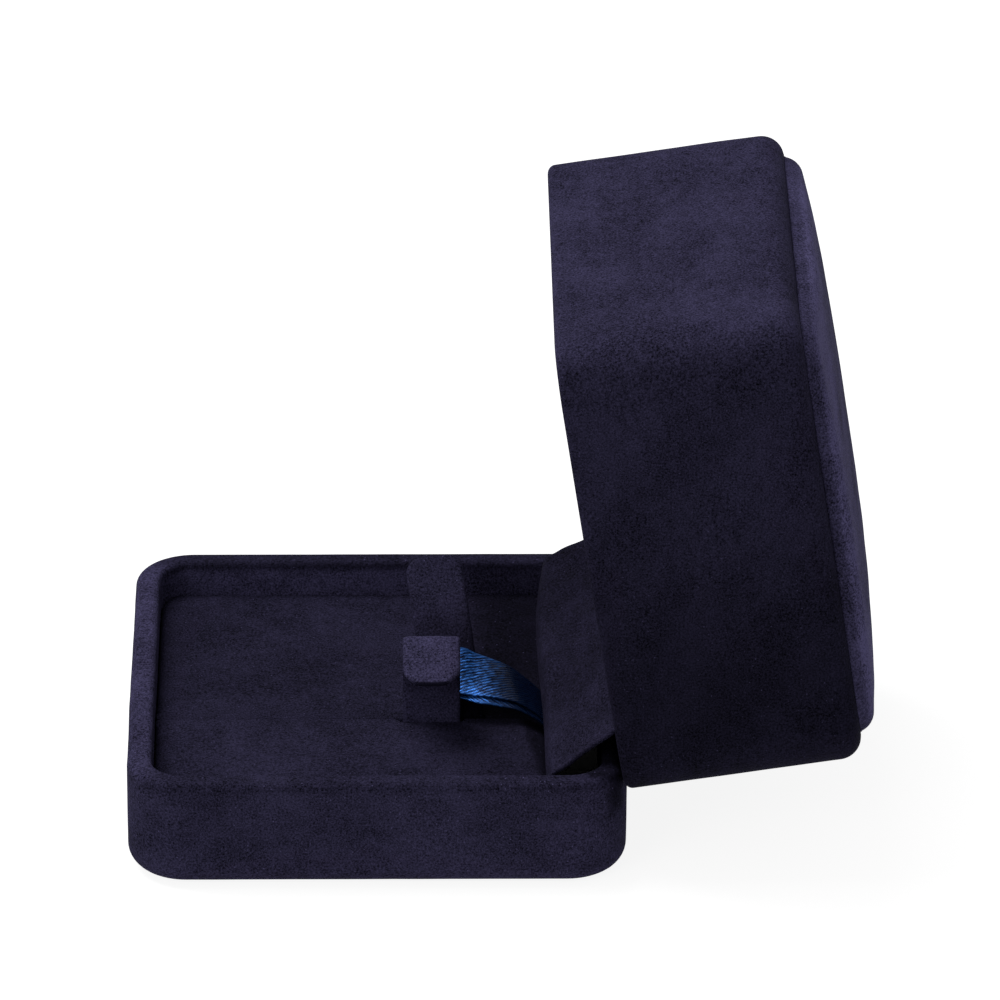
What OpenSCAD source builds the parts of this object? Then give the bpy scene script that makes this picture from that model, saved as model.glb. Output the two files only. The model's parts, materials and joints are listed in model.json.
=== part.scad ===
// Hinged velvet jewelry gift box: square base tray with a slit cushion and a two-tongue
// display clip, satin ribbon, and a deep lid with a raised padded top. Shown open.
// Millimetres, +Z up. Origin: centre of the underside. Hinge side is +X.

/* [Box] */
// Outside length of base and lid, front to hinge
box_l = 90; // [75:1:120]
// Outside width of base and lid, along the hinge
box_w = 90; // [75:1:120]
// Base height, underside to rim
base_h = 21.3; // [19:0.1:30]
// Lid depth, rim to its flat top
lid_h = 43.4; // [32:0.1:60]
// Plan corner radius
corner_r = 10.5; // [8:0.5:16]
// Width of the rolled rim, covering included
rim_w = 4.3; // [4:0.1:6]

/* [Covering] */
// Suede covering thickness
cover_t = 0.6; // [0.4:0.1:1]
// Moulded shell wall
shell_t = 2; // [1.5:0.1:2.4]
// Round along the base's bottom edge
base_round = 3.9; // [2:0.1:4.2]
// Round along the lid's top edge
lid_round = 4.2; // [2:0.1:4.2]
// Round on the outside of the rims
rim_round = 1.5; // [1:0.1:2]
// Round on the inside of the rims
rim_inner_round = 1.1; // [0.8:0.1:1.6]
// Gap between the two rims when shut
rim_gap = 0.3; // [0.2:0.1:0.8]

/* [Insert] */
// Height of the cushion surface above the underside
insert_z = 15; // [12.5:0.1:17]
// Distance of the cushion slit from the middle, towards the near side
slit_offset = 8.5; // [0:0.5:14]
// Width of the pocket between the flap and the hinge-side wall
pocket_w = 9.5; // [8:0.5:12]

/* [Clip] */
// Width of the clip tongues
tongue_w = 10.5; // [8:0.5:16]
// Distance of the clip from the middle, towards the hinge
clip_x = 10; // [-10:0.5:14]
// Height of the folded front tongue above the cushion
front_rise = 17.6; // [10:0.1:22]
// Length of the front tongue's folded end
front_fold = 10; // [6:0.5:14]
// Length of the back tongue above the cushion
back_len = 31.5; // [20:0.5:34]
// How far the back tongue's root lies nearer the hinge than the front one
back_shift = 4.4; // [0:0.2:5]

/* [Ribbon] */
// Width of the satin ribbon
ribbon_w = 9.5; // [6:0.5:10]

/* [Lid pad] */
// How far the raised pad stands proud of the lid
pad_rise = 5; // [3:0.5:8]
// Distance of the raised pad from the lid's sides
pad_inset = 4; // [4:0.5:8]

/* [Hidden] */
$fn = 64;
eps = 0.01;
fit_gap = 0.2;
felt_proud = 0.3;
shell_z = felt_proud + cover_t;
floor_top = shell_z + shell_t;
lid_rim_z = base_h + rim_gap;
card_x0 = rim_w - cover_t;
in_l = box_l - 2 * rim_w;
in_w = box_w - 2 * rim_w;
in_r = corner_r - rim_w;

// hinge line; the lid opens until its rim rests in the seat
open_angle = 81.3;
pin_r = 0.8;
bore_r = 0.85;
knuckle_r = 1.45;
leaf_t = 0.5;
pivot_x = box_l / 2 - 3.1;
pivot_z = lid_rim_z - 2.6;
leaf_x = box_l / 2 - cover_t - shell_t - leaf_t;
hinge_half = min(22, box_w / 4);
knuckle_a = hinge_half * 0.68;
knuckle_b = hinge_half * 0.27;
end_play = 0.15;
leaf_edge = knuckle_r + 0.45;
leaf_h = min(base_h - 8.4, 12);
notch_half = hinge_half + 1.5;
notch_z = pivot_z - knuckle_r - 0.35;
rivet_r = 0.9;
rivet_head_r = 1.6;
rivet_head_t = 0.45;
rivet_len = 1.9;
seat_gap = 0.2;
seat_half = box_w / 2 - 2;

// cushion and clip
slit_y = -slit_offset;
slit_gap = 0.4;
board_t = 1.2;
pad_z0 = floor_top + board_t + 2 * eps;
flap_t = 0.8;
card_t = 1;
flap_x = in_l / 2 - pocket_w;
pad_x0 = -in_l / 2 + fit_gap;
pad_x1 = flap_x - fit_gap;
pad_y1 = in_w / 2 - fit_gap;
core_t = 0.4;
nap_t = 0.5;
tongue_t = core_t + 2 * nap_t;
tongue_gap = 0.15;
front_y = slit_y - tongue_t / 2 - tongue_gap / 2;
back_y = slit_y + tongue_t / 2 + tongue_gap / 2;
pocket_side = 0.4;
bend_z = insert_z + 0.35;
root_z1 = bend_z - tongue_t / 2 - 0.05;
neck = 2.3;
neck_step = 0.06;
blade_z0 = 1.5;
fold_angle = 26;
back_lean = 48;
back_skew = 7.5;
back_room = 1.2;
tip_r = 4;

// flap and panels
flap_crest = insert_z + 3.9;
flap_half = box_w / 2 - 8;
flap_slope = 37.6;
flap_end = 8;
flap_run = 16.6;

// ribbon
ribbon_t = 0.3;

// lid pads
top_pad_l = box_l - 2 * pad_inset;
top_pad_w = box_w - 2 * pad_inset;
top_pad_r = corner_r - pad_inset + 1.5;
top_pad_round = min(3.4, pad_rise - 1.2);
lid_pad_t = 4;

module corner_cut(x, z, r, sx, sz) {
  // the waste outside a rounded corner of a section, corner at x, z
  if (r > 0.05) difference() {
    translate([x - (sx > 0 ? r : eps), z - (sz > 0 ? r : eps)]) square(r + eps);
    translate([x - sx * r, z - sz * r]) circle(r);
  }
}

module around() {
  // carries a wall section round the rounded square; x = corner_r is the outer face
  half_l = box_l / 2 - corner_r;
  half_w = box_w / 2 - corner_r;
  for (s = [0, 1]) rotate(180 * s) {
    translate([half_l, half_w, 0]) rotate_extrude(angle = 90) children();
    translate([-half_l, half_w, 0]) rotate(90) rotate_extrude(angle = 90) children();
    translate([half_l, half_w, 0]) rotate([90, 0, 0]) linear_extrude(2 * half_w) children();
    rotate(90) translate([half_w, half_l, 0]) rotate([90, 0, 0])
      linear_extrude(2 * half_l) children();
  }
}

module plan(l, w, r) {
  // rounded rectangle
  square([l - 2 * r, w], center = true);
  square([l, w - 2 * r], center = true);
  for (sx = [-1, 1], sy = [-1, 1])
    translate([sx * (l / 2 - r), sy * (w / 2 - r)]) circle(r);
}

module wall_section(t, z0, h, edge) {
  // the whole rim wall, set in by t from its covered surface
  difference() {
    translate([corner_r - rim_w + t, z0 + t]) square([rim_w - 2 * t, h - z0 - 2 * t]);
    corner_cut(corner_r - t, z0 + t, edge - t, 1, -1);
    corner_cut(corner_r - t, h - t, rim_round - t, 1, 1);
    corner_cut(corner_r - rim_w + t, h - t, rim_inner_round - t, -1, 1);
  }
}

module tray_shell(z0, h, edge) {
  // moulded tray: floor and outer wall
  around() difference() {
    translate([corner_r - rim_w - 1, z0 + cover_t])
      square([rim_w + 1 - cover_t, h - z0 - 2 * cover_t]);
    translate([0, z0 + cover_t + shell_t])
      square([corner_r - cover_t - shell_t, h]);
    corner_cut(corner_r - cover_t, z0 + cover_t, edge - cover_t, 1, -1);
    corner_cut(corner_r - cover_t, h - cover_t, rim_round - cover_t, 1, 1);
  }
  translate([0, 0, z0 + cover_t]) linear_extrude(shell_t)
    plan(in_l - 2 + 2 * eps, in_w - 2 + 2 * eps, in_r - 1 + eps);
}

module tray_frame(z0, h) {
  // card frame inside the shell wall that makes up the wide rim
  around() difference() {
    translate([corner_r - card_x0, z0 + cover_t + shell_t])
      square([card_x0 - cover_t - shell_t, h - z0 - 2 * cover_t - shell_t]);
    corner_cut(corner_r - card_x0, h - cover_t, rim_inner_round - cover_t, -1, 1);
  }
}

module tray_cover(z0, h, edge) {
  // covering: up the outside, over the rim and down the inside to the floor
  around() difference() {
    wall_section(0, z0, h, edge);
    wall_section(cover_t, z0, h, edge);
    translate([corner_r - rim_w - eps, z0 + cover_t])
      square([cover_t + 2 * eps, shell_t + eps]);
  }
}

module opened() {
  // swings what is modelled shut into the open pose
  translate([pivot_x, 0, pivot_z]) rotate([0, open_angle, 0])
    translate([-pivot_x, 0, -pivot_z]) children();
}

module lid_place() {
  // a tray modelled upright becomes the lid
  opened() translate([0, 0, lid_rim_z + lid_h]) rotate([180, 0, 0]) children();
}

module lid_seat(g) {
  // rebate in the base's hinge wall for the rim of the fully opened lid, and the rounded
  // edge above it that the lid's rim turns past
  reach = lid_rim_z - pivot_z - seat_gap - g;
  translate([pivot_x, 0, pivot_z]) {
    rotate([0, open_angle, 0]) translate([0, -seat_half - g, reach])
      cube([box_l / 2 - pivot_x + seat_gap + g, 2 * (seat_half + g), 15]);
    rotate([90, 0, 0]) linear_extrude(2 * (seat_half + g), center = true) difference() {
      square(15);
      circle(reach);
    }
  }
}

module hinge_notch(g) {
  // gap in the base's hinge wall where the knuckles lie
  translate([box_l / 2 - rim_w - 1, -notch_half - g, notch_z - g])
    cube([rim_w + 2, 2 * (notch_half + g), base_h]);
}

module leaf_window(z0, h) {
  // room in the lining and frame card for a hinge leaf, its rivet heads and the spring
  translate([in_l / 2 - eps, -hinge_half - 0.3, z0])
    cube([rim_w - cover_t - shell_t + 2 * eps, 2 * hinge_half + 0.6, h]);
}

module knuckles(segs) {
  // hinge barrel pieces between pairs of Y values
  for (s = segs) translate([pivot_x, s[0], pivot_z]) rotate([-90, 0, 0])
    cylinder(r = knuckle_r, h = s[1] - s[0]);
}

module hinge_bore(r) {
  translate([pivot_x, -hinge_half - 2, pivot_z]) rotate([-90, 0, 0])
    cylinder(r = r, h = 2 * hinge_half + 4);
}

base_segs = [[-hinge_half, -knuckle_a - end_play], [knuckle_a + end_play, hinge_half]];
lid_segs = [[-knuckle_a + end_play, -knuckle_b], [knuckle_b, knuckle_a - end_play]];

module leaf(segs, up) {
  // leaf plate with its own knuckles; up = 1 for the lid's leaf, -1 for the base's
  z_far = leaf_edge + leaf_h;
  difference() {
    union() {
      knuckles(segs);
      translate([leaf_x, -hinge_half, pivot_z + (up > 0 ? leaf_edge : -z_far)])
        cube([leaf_t, 2 * hinge_half, leaf_h]);
      for (s = segs)
        translate([leaf_x, s[0], pivot_z + (up > 0 ? 0 : -leaf_edge - eps)])
          cube([leaf_t, s[1] - s[0], leaf_edge + eps]);
    }
    hinge_bore(bore_r);
    rivets(up, rivet_r, false);
  }
}

module rivets(up, r, heads) {
  // three rivets through a leaf into the shell
  for (y = [-hinge_half * 0.75, 0, hinge_half * 0.75])
    translate([leaf_x, y, pivot_z + up * (leaf_edge + leaf_h * 0.62)]) rotate([0, 90, 0]) {
      translate([0, 0, heads ? 0 : -1]) cylinder(r = r, h = heads ? rivet_len : rivet_len + 1);
      if (heads) translate([0, 0, -rivet_head_t]) cylinder(r = rivet_head_r, h = rivet_head_t);
    }
}

// ---- base ----

module base_shell() {
  color([0.13, 0.13, 0.15]) difference() {
    tray_shell(felt_proud, base_h, base_round);
    lid_seat(cover_t);
    hinge_notch(cover_t);
    rivets(-1, rivet_r, false);
  }
}

module base_frame() {
  color([0.62, 0.58, 0.5]) difference() {
    tray_frame(felt_proud, base_h);
    hinge_notch(cover_t);
    leaf_window(floor_top + 1, base_h);
  }
}

module base_cover() {
  color([0.1, 0.09, 0.17]) difference() {
    around() wall_section(0, felt_proud, base_h, base_round);
    lid_seat(0);
    hinge_notch(0);
    difference() {
      around() wall_section(cover_t, felt_proud, base_h, base_round);
      lid_seat(cover_t);
      hinge_notch(cover_t);
    }
    around() translate([corner_r - rim_w - eps, shell_z]) square([rim_w / 2, shell_t + eps]);
    leaf_window(floor_top + 1, base_h);
  }
}

module base_felt() {
  color([0.07, 0.07, 0.09]) linear_extrude(shell_z - eps)
    plan(in_l - 2 * fit_gap, in_w - 2 * fit_gap, in_r - fit_gap);
}

module base_hinge_panel() {
  color([0.62, 0.58, 0.5])
    translate([flap_x + flap_t, -flap_half + 0.5, floor_top + eps])
      cube([card_t, 2 * flap_half - 1, flap_crest - floor_top - 1.2]);
}

// ---- insert ----

module insert_plan(y0, y1, g) {
  // outline of the cushion between two Y values, inside the tray
  intersection() {
    plan(in_l - 2 * fit_gap - 2 * g, in_w - 2 * fit_gap - 2 * g, in_r - fit_gap - g);
    translate([pad_x0 - 1, y0 + g])
      square([pad_x1 - g - pad_x0 + 1, y1 - y0 - 2 * g]);
  }
}

module insert_board() {
  color([0.5, 0.47, 0.42]) translate([0, 0, floor_top + eps]) linear_extrude(board_t)
    insert_plan(-pad_y1, pad_y1, 0);
}

module clip_pocket(g) {
  // room in each cushion's edge for its own tongue
  w = tongue_w + 2 * (pocket_side + g);
  translate([clip_x - w / 2, front_y - tongue_t / 2 - fit_gap - g, pad_z0 - 1])
    cube([w, slit_y - front_y + tongue_t / 2 + fit_gap + g, base_h]);
  translate([clip_x + back_shift - w / 2, slit_y, pad_z0 - 1])
    cube([w, back_y - slit_y + tongue_t / 2 + back_room + g, base_h]);
}

module pad_foam(y0, y1) {
  difference() {
    translate([0, 0, pad_z0]) linear_extrude(insert_z - cover_t - pad_z0)
      insert_plan(y0, y1, cover_t);
    clip_pocket(cover_t);
  }
}

module pad_cover(y0, y1) {
  difference() {
    translate([0, 0, pad_z0]) linear_extrude(insert_z - pad_z0) insert_plan(y0, y1, 0);
    clip_pocket(0);
    difference() {
      translate([0, 0, pad_z0 - eps]) linear_extrude(insert_z - cover_t - pad_z0 + eps)
        insert_plan(y0, y1, cover_t);
      clip_pocket(cover_t);
    }
  }
}

module near_pad_foam() {
  color([0.2, 0.2, 0.22]) pad_foam(-pad_y1, slit_y - slit_gap / 2);
}

module near_pad_cover() {
  color([0.15, 0.14, 0.22]) pad_cover(-pad_y1, slit_y - slit_gap / 2);
}

module far_pad_foam() {
  color([0.2, 0.2, 0.22]) pad_foam(slit_y + slit_gap / 2, pad_y1);
}

module far_pad_cover() {
  color([0.14, 0.13, 0.21]) pad_cover(slit_y + slit_gap / 2, pad_y1);
}

// ---- clip ----

module tongue_blank(w, l, r) {
  // flat tongue from y = 0 to y = l with a rounded far end
  translate([-w / 2, 0]) square([w, l - r]);
  translate([-w / 2 + r, l - r - eps]) square([w - 2 * r, r + eps]);
  for (s = [-1, 1]) translate([s * (w / 2 - r), l - r]) circle(r);
}

module front_tongue(g) {
  // riser, fold and end that hangs over the near cushion; set in by g all round
  t = tongue_t / 2 - g;
  w = tongue_w / 2 - g;
  top = insert_z + front_rise - tongue_t / 2;
  translate([clip_x - w, front_y - t, bend_z]) cube([2 * w, 2 * t, top - bend_z]);
  for (z = [bend_z, top]) translate([clip_x - w, front_y, z]) rotate([0, 90, 0])
    cylinder(r = t, h = 2 * w);
  translate([clip_x, front_y, top]) rotate([180 + fold_angle, 0, 0])
    translate([0, 0, -t]) linear_extrude(2 * t)
      tongue_blank(2 * w, front_fold - g, tip_r - g);
}

module front_tongue_core() {
  color([0.7, 0.71, 0.72]) front_tongue(nap_t);
}

module front_tongue_cover() {
  color([0.3, 0.27, 0.4]) difference() {
    front_tongue(0);
    front_tongue(nap_t);
  }
}

module back_tongue(g) {
  // round root and short neck, then the blade turned a little in its own plane
  t = tongue_t / 2 - g;
  w = tongue_w / 2 - g;
  translate([clip_x + back_shift, back_y, bend_z]) {
    translate([-w, 0, 0]) rotate([0, 90, 0]) cylinder(r = t, h = 2 * w);
    rotate([-back_lean, 0, 0]) {
      translate([-w, neck_step - t, 0]) cube([2 * w, 2 * (t - neck_step), neck]);
      rotate([0, -back_skew, 0]) translate([0, t, blade_z0]) rotate([90, 0, 0])
        linear_extrude(2 * t) tongue_blank(2 * w, back_len - blade_z0 - g, tip_r - g);
    }
  }
}

module back_tongue_core() {
  color([0.7, 0.71, 0.72]) back_tongue(nap_t);
}

module back_tongue_cover() {
  color([0.2, 0.18, 0.28]) difference() {
    back_tongue(0);
    back_tongue(nap_t);
  }
}

module clip_root() {
  // folded strip held in the slit; the tongues' cores bend out of its two legs
  w = tongue_w - 2 * nap_t;
  x0 = clip_x - w / 2;
  color([0.7, 0.71, 0.72]) {
    translate([x0, front_y - core_t / 2, pad_z0]) cube([w, core_t, root_z1 - pad_z0]);
    translate([x0 + back_shift, back_y - core_t / 2, pad_z0])
      cube([w, core_t, root_z1 - pad_z0]);
    translate([x0 + back_shift, front_y - core_t / 2, pad_z0])
      cube([w - back_shift, back_y - front_y + core_t, core_t]);
  }
}

// ---- ribbon ----

ribbon_x0 = clip_x - tongue_w / 2 + 2;
ribbon_x1 = flap_x - 0.3;
ribbon_turn = clip_x + tongue_w / 2;
ribbon_drop = 4.5;
ribbon_foot = 0.39;
ribbon_tilt = 30;
function ribbon_s(x) = max(0, (x - ribbon_turn) / (ribbon_x1 - ribbon_turn));

module ribbon_slab(x, layer) {
  // one short piece across the ribbon: tilted at the clip, falling flat onto the cushion,
  // the lower layer a little nearer the near side
  s = ribbon_s(x);
  y = slit_y + 0.1 - 2.2 * pow(s, 0.8) - layer * 1.2 * min(1, 5 * s);
  z = insert_z + ribbon_foot + ribbon_drop * (1 - pow(s, 4)) - layer * (1 - 0.62 * s);
  translate([x, y, z])
    rotate([ribbon_tilt * pow(1 - min(s, 1), 1.5), 0, 0]) cube([0.05, ribbon_w, ribbon_t]);
}

module satin_ribbon() {
  steps = 12;
  dx = (ribbon_x1 - ribbon_x0 - 0.1) / steps;
  color([0.08, 0.22, 0.62]) {
    for (layer = [0, 1], i = [0:steps - 1]) hull() {
      ribbon_slab(ribbon_x0 + dx * i, layer);
      ribbon_slab(ribbon_x0 + dx * (i + 1), layer);
    }
    hull() for (layer = [0, 1]) ribbon_slab(ribbon_x0, layer);
  }
}

// ---- hinge ----

module hinge_leaf_base() {
  color([0.72, 0.72, 0.74]) leaf(base_segs, -1);
}

module hinge_leaf_lid() {
  color([0.72, 0.72, 0.74]) opened() leaf(lid_segs, 1);
}

module hinge_pin() {
  color([0.78, 0.78, 0.8]) {
    hinge_pin_rod(pin_r, hinge_half + 0.3);
    for (s = [-1, 1]) translate([pivot_x, s * (hinge_half + 0.5), pivot_z])
      rotate([90, 0, 0]) cylinder(r = 1.2, h = 0.5, center = true);
  }
}

module hinge_pin_rod(r, half) {
  translate([pivot_x, -half, pivot_z]) rotate([-90, 0, 0]) cylinder(r = r, h = 2 * half);
}

module hinge_spring() {
  // coil round the pin between the lid's knuckles, a leg along each leaf
  wire = 0.2;
  coil_r = pin_r + wire + 0.15;
  half = knuckle_b - 0.6;
  turns = 6;
  leg = leaf_edge + 4;
  color([0.6, 0.61, 0.64]) {
    translate([pivot_x, half, pivot_z]) rotate([90, 0, 0])
      linear_extrude(2 * half, twist = 360 * turns, slices = 16 * turns, $fn = 8)
        translate([coil_r, 0]) circle(wire, $fn = 8);
    translate([pivot_x - coil_r, half - wire, pivot_z - leg]) cylinder(r = wire, h = leg, $fn = 16);
    opened() translate([pivot_x - coil_r, -half + wire, pivot_z])
      cylinder(r = wire, h = leg, $fn = 16);
  }
}

module hinge_rivets_base() {
  color([0.75, 0.75, 0.77]) rivets(-1, rivet_r, true);
}

module hinge_rivets_lid() {
  color([0.75, 0.75, 0.77]) opened() rivets(1, rivet_r, true);
}

// ---- hinge flap ----

flap_kx = flap_x + flap_t / 2;
flap_px = flap_kx + flap_run * cos(flap_slope);
flap_pz = flap_crest + flap_run * sin(flap_slope);
// where the flap meets the lid, with the lid shut
shut_px = pivot_x + cos(open_angle) * (flap_px - pivot_x) - sin(open_angle) * (flap_pz - pivot_z);
shut_pz = pivot_z + sin(open_angle) * (flap_px - pivot_x) + cos(open_angle) * (flap_pz - pivot_z);
panel_x = shut_px + flap_t / 2 + eps;

module band(x, z, len, angle) {
  // straight run of the flap's section with a round start
  translate([x, z]) {
    rotate(angle) translate([0, -flap_t / 2]) square([len, flap_t]);
    circle(flap_t / 2);
  }
}

module hinge_flap() {
  // suede strip from the tray, over the hinge pocket, into the lid
  color([0.22, 0.2, 0.32]) translate([0, flap_half, 0]) rotate([90, 0, 0])
    linear_extrude(2 * flap_half) {
      band(flap_kx, floor_top + flap_t, flap_crest - floor_top - flap_t, 90);
      band(flap_kx, flap_crest, flap_run, flap_slope);
      band(flap_px, flap_pz, flap_end, 90 - open_angle);
    }
}

// ---- lid ----

module lid_shell() {
  color([0.13, 0.13, 0.15]) lid_place() difference() {
    tray_shell(0, lid_h, lid_round);
    shut_in_lid() rivets(1, rivet_r, false);
  }
}

module shut_in_lid() {
  // takes a shape given with the lid shut into the upright lid tray
  rotate([180, 0, 0]) translate([0, 0, -lid_rim_z - lid_h]) children();
}

module lid_frame() {
  color([0.62, 0.58, 0.5]) lid_place() difference() {
    tray_frame(0, lid_h);
    lid_leaf_window();
  }
}

module lid_leaf_window() {
  shut_in_lid() leaf_window(lid_rim_z - 1, leaf_edge + leaf_h - 1);
}

module lid_cover() {
  color([0.11, 0.1, 0.18]) lid_place() difference() {
    tray_cover(0, lid_h, lid_round);
    lid_leaf_window();
  }
  color([0.11, 0.1, 0.18]) lid_place() linear_extrude(cover_t)
    plan(in_l + 2 * eps, in_w + 2 * eps, in_r + eps);
}

module lid_hinge_panel() {
  z0 = max(shut_pz + flap_t, lid_rim_z + 1);
  color([0.62, 0.58, 0.5]) opened() translate([0, 0, z0])
    linear_extrude(lid_rim_z + lid_h - cover_t - shell_t - eps - z0) intersection() {
      plan(in_l - 2 * fit_gap, in_w - 2 * fit_gap, in_r - fit_gap);
      translate([panel_x, -in_w / 2]) square([card_t, in_w]);
    }
}

module top_pad(g, z0, z1, r) {
  // raised pad on top of the lid, set in by g, shut position
  translate([0, 0, lid_rim_z + lid_h]) {
    translate([0, 0, z0]) linear_extrude(z1 - z0 - r + eps)
      plan(top_pad_l - 2 * g, top_pad_w - 2 * g, top_pad_r - g);
    translate([0, 0, z1 - r]) pad_crown(top_pad_l - 2 * g, top_pad_w - 2 * g, top_pad_r - g, r);
  }
}

module pad_crown(l, w, pr, r) {
  // slab r thick with a rounded top edge
  linear_extrude(r) plan(l - 2 * r, w - 2 * r, pr - r);
  for (s = [0, 1]) rotate(180 * s) {
    for (m = [0, 1]) translate([(m ? -1 : 1) * (l / 2 - pr), w / 2 - pr, 0]) rotate(90 * m)
      rotate_extrude(angle = 90) crown_section(pr, r);
    translate([l / 2 - pr, w / 2 - pr, 0]) rotate([90, 0, 0]) linear_extrude(w - 2 * pr)
      crown_section(pr, r);
    rotate(90) translate([w / 2 - pr, l / 2 - pr, 0]) rotate([90, 0, 0])
      linear_extrude(l - 2 * pr) crown_section(pr, r);
  }
}

module crown_section(pr, r) {
  intersection() {
    translate([pr - r, 0]) circle(r);
    translate([pr - r - eps, 0]) square([r + eps, r]);
  }
}

module lid_panel_board() {
  color([0.62, 0.58, 0.5]) opened() translate([0, 0, lid_rim_z + lid_h + eps])
    linear_extrude(board_t) plan(top_pad_l - 2 * cover_t, top_pad_w - 2 * cover_t, top_pad_r - cover_t);
}

module lid_panel_foam() {
  color([0.2, 0.2, 0.22]) opened()
    top_pad(cover_t, board_t + 2 * eps, pad_rise - cover_t, top_pad_round - cover_t);
}

module lid_panel_cover() {
  color([0.13, 0.12, 0.2]) opened() difference() {
    top_pad(0, eps, pad_rise, top_pad_round);
    top_pad(cover_t, 0, pad_rise - cover_t, top_pad_round - cover_t);
  }
}

// padded panel inside the lid's top
lid_pad_z1 = lid_rim_z + lid_h - cover_t - shell_t;
lid_pad_x0 = -in_l / 2 + fit_gap;
lid_pad_len = panel_x - fit_gap - lid_pad_x0;

module lid_pad_plan(g) {
  intersection() {
    plan(in_l - 2 * fit_gap - 2 * g, in_w - 2 * fit_gap - 2 * g, in_r - fit_gap - g);
    translate([lid_pad_x0 + g, -in_w / 2]) square([lid_pad_len - 2 * g, in_w]);
  }
}

module lid_pad_board() {
  color([0.62, 0.58, 0.5]) opened() translate([0, 0, lid_pad_z1 - board_t])
    linear_extrude(board_t - eps) lid_pad_plan(cover_t);
}

module lid_pad_foam() {
  color([0.2, 0.2, 0.22]) opened() translate([0, 0, lid_pad_z1 - lid_pad_t + cover_t])
    linear_extrude(lid_pad_t - cover_t - board_t - eps) lid_pad_plan(cover_t);
}

module lid_pad_cover() {
  color([0.11, 0.1, 0.18]) opened() difference() {
    translate([0, 0, lid_pad_z1 - lid_pad_t]) linear_extrude(lid_pad_t - eps) lid_pad_plan(0);
    translate([0, 0, lid_pad_z1 - lid_pad_t + cover_t]) linear_extrude(lid_pad_t)
      lid_pad_plan(cover_t);
  }
}

base_shell();
base_frame();
base_cover();
base_felt();
base_hinge_panel();
insert_board();
near_pad_foam();
near_pad_cover();
far_pad_foam();
far_pad_cover();
clip_root();
front_tongue_core();
front_tongue_cover();
back_tongue_core();
back_tongue_cover();
satin_ribbon();
hinge_leaf_base();
hinge_leaf_lid();
hinge_pin();
hinge_spring();
hinge_rivets_base();
hinge_rivets_lid();
hinge_flap();
lid_shell();
lid_frame();
lid_cover();
lid_hinge_panel();
lid_panel_board();
lid_panel_foam();
lid_panel_cover();
lid_pad_board();
lid_pad_foam();
lid_pad_cover();
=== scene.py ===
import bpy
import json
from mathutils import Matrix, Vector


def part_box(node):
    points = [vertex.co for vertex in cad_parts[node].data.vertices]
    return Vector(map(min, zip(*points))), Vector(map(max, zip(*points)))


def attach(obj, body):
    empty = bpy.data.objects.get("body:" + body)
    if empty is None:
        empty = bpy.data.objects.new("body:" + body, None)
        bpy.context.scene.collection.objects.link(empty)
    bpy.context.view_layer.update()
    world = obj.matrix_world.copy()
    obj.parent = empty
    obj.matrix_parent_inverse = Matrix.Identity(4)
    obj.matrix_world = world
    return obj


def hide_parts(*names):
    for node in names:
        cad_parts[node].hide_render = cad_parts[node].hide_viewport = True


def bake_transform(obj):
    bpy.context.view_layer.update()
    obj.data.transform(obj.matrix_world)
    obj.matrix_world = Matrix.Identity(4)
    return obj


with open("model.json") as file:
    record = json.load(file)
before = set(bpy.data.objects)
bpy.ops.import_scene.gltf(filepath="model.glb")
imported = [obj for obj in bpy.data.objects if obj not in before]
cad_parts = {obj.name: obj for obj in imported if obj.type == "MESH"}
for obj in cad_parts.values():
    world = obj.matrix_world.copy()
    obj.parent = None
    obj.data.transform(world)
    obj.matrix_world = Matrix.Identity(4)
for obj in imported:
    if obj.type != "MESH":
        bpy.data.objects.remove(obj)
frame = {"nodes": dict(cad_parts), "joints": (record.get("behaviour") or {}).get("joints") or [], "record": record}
"""Looks of a suede-covered jewelry box standing open: the coverings of base and lid, the slit
cushion, the raised pad on the lid, the two-tongue clip, the satin ribbon and the hinge flap.

Every shape is worked out in millimetres in the box's own frame and put in its mesh in metres.
Shapes that belong to the lid are worked out with the lid shut and then swung open."""

import json
import math

import bmesh
import bpy
import numpy as np
from mathutils import Matrix, Vector

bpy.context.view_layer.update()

MM = 0.001
LID_JOINT = next(j for j in frame["joints"] if j["name"] == "lid_hinge")
PIVOT_X, _, PIVOT_Z = (v / MM for v in LID_JOINT["pos_m"])
OPEN_ANGLE = math.radians(-LID_JOINT["range_deg"][0])

# Sizes that the nodes' boxes don't give, millimetres
CORNER_R = 10.5
RIM_W = 4.3
COVER_T = 0.6
BASE_ROUND = 3.9
LID_ROUND = 4.2
RIM_ROUND = 1.5
RIM_INNER_ROUND = 1.1
TRAY_FLOOR = 2.9
FIT_GAP = 0.2
NAP = 0.2
RNG = np.random.default_rng(7)


# ---------------------------------------------------------------- camera

def make_camera():
    """Camera on the near side, looking down at about 27 degrees with a long lens."""
    camera = bpy.data.objects.new("camera", bpy.data.cameras.new("camera"))
    bpy.context.scene.collection.objects.link(camera)
    right = (0.999917, -0.012335, 0.0036)
    up = (0.002478, 0.460009, 0.887911)
    forward = (0.012608, 0.887829, -0.460001)
    place = Matrix([[right[i], up[i], -forward[i], 0] for i in range(3)] + [[0, 0, 0, 1]])
    place.translation = (0.00289, -1.38309, 0.77216)
    camera.matrix_world = place
    camera.data.sensor_width = 36
    camera.data.lens = 307.7
    camera.data.clip_start, camera.data.clip_end = 0.05, 20
    bpy.context.scene.camera = camera


make_camera()


# ---------------------------------------------------------------- frame helpers

def node_box(name):
    """Lowest and highest corner of a CAD node, millimetres."""
    low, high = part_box(name)
    return np.array(low) / MM, np.array(high) / MM


def shut_box(name):
    """Lowest and highest corner of one of the lid's CAD nodes with the lid shut."""
    mesh = frame["nodes"][name].data
    co = np.zeros(len(mesh.vertices) * 3)
    mesh.vertices.foreach_get("co", co)
    co = swing(co.reshape(-1, 3) / MM, -OPEN_ANGLE)
    return co.min(0), co.max(0)


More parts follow.
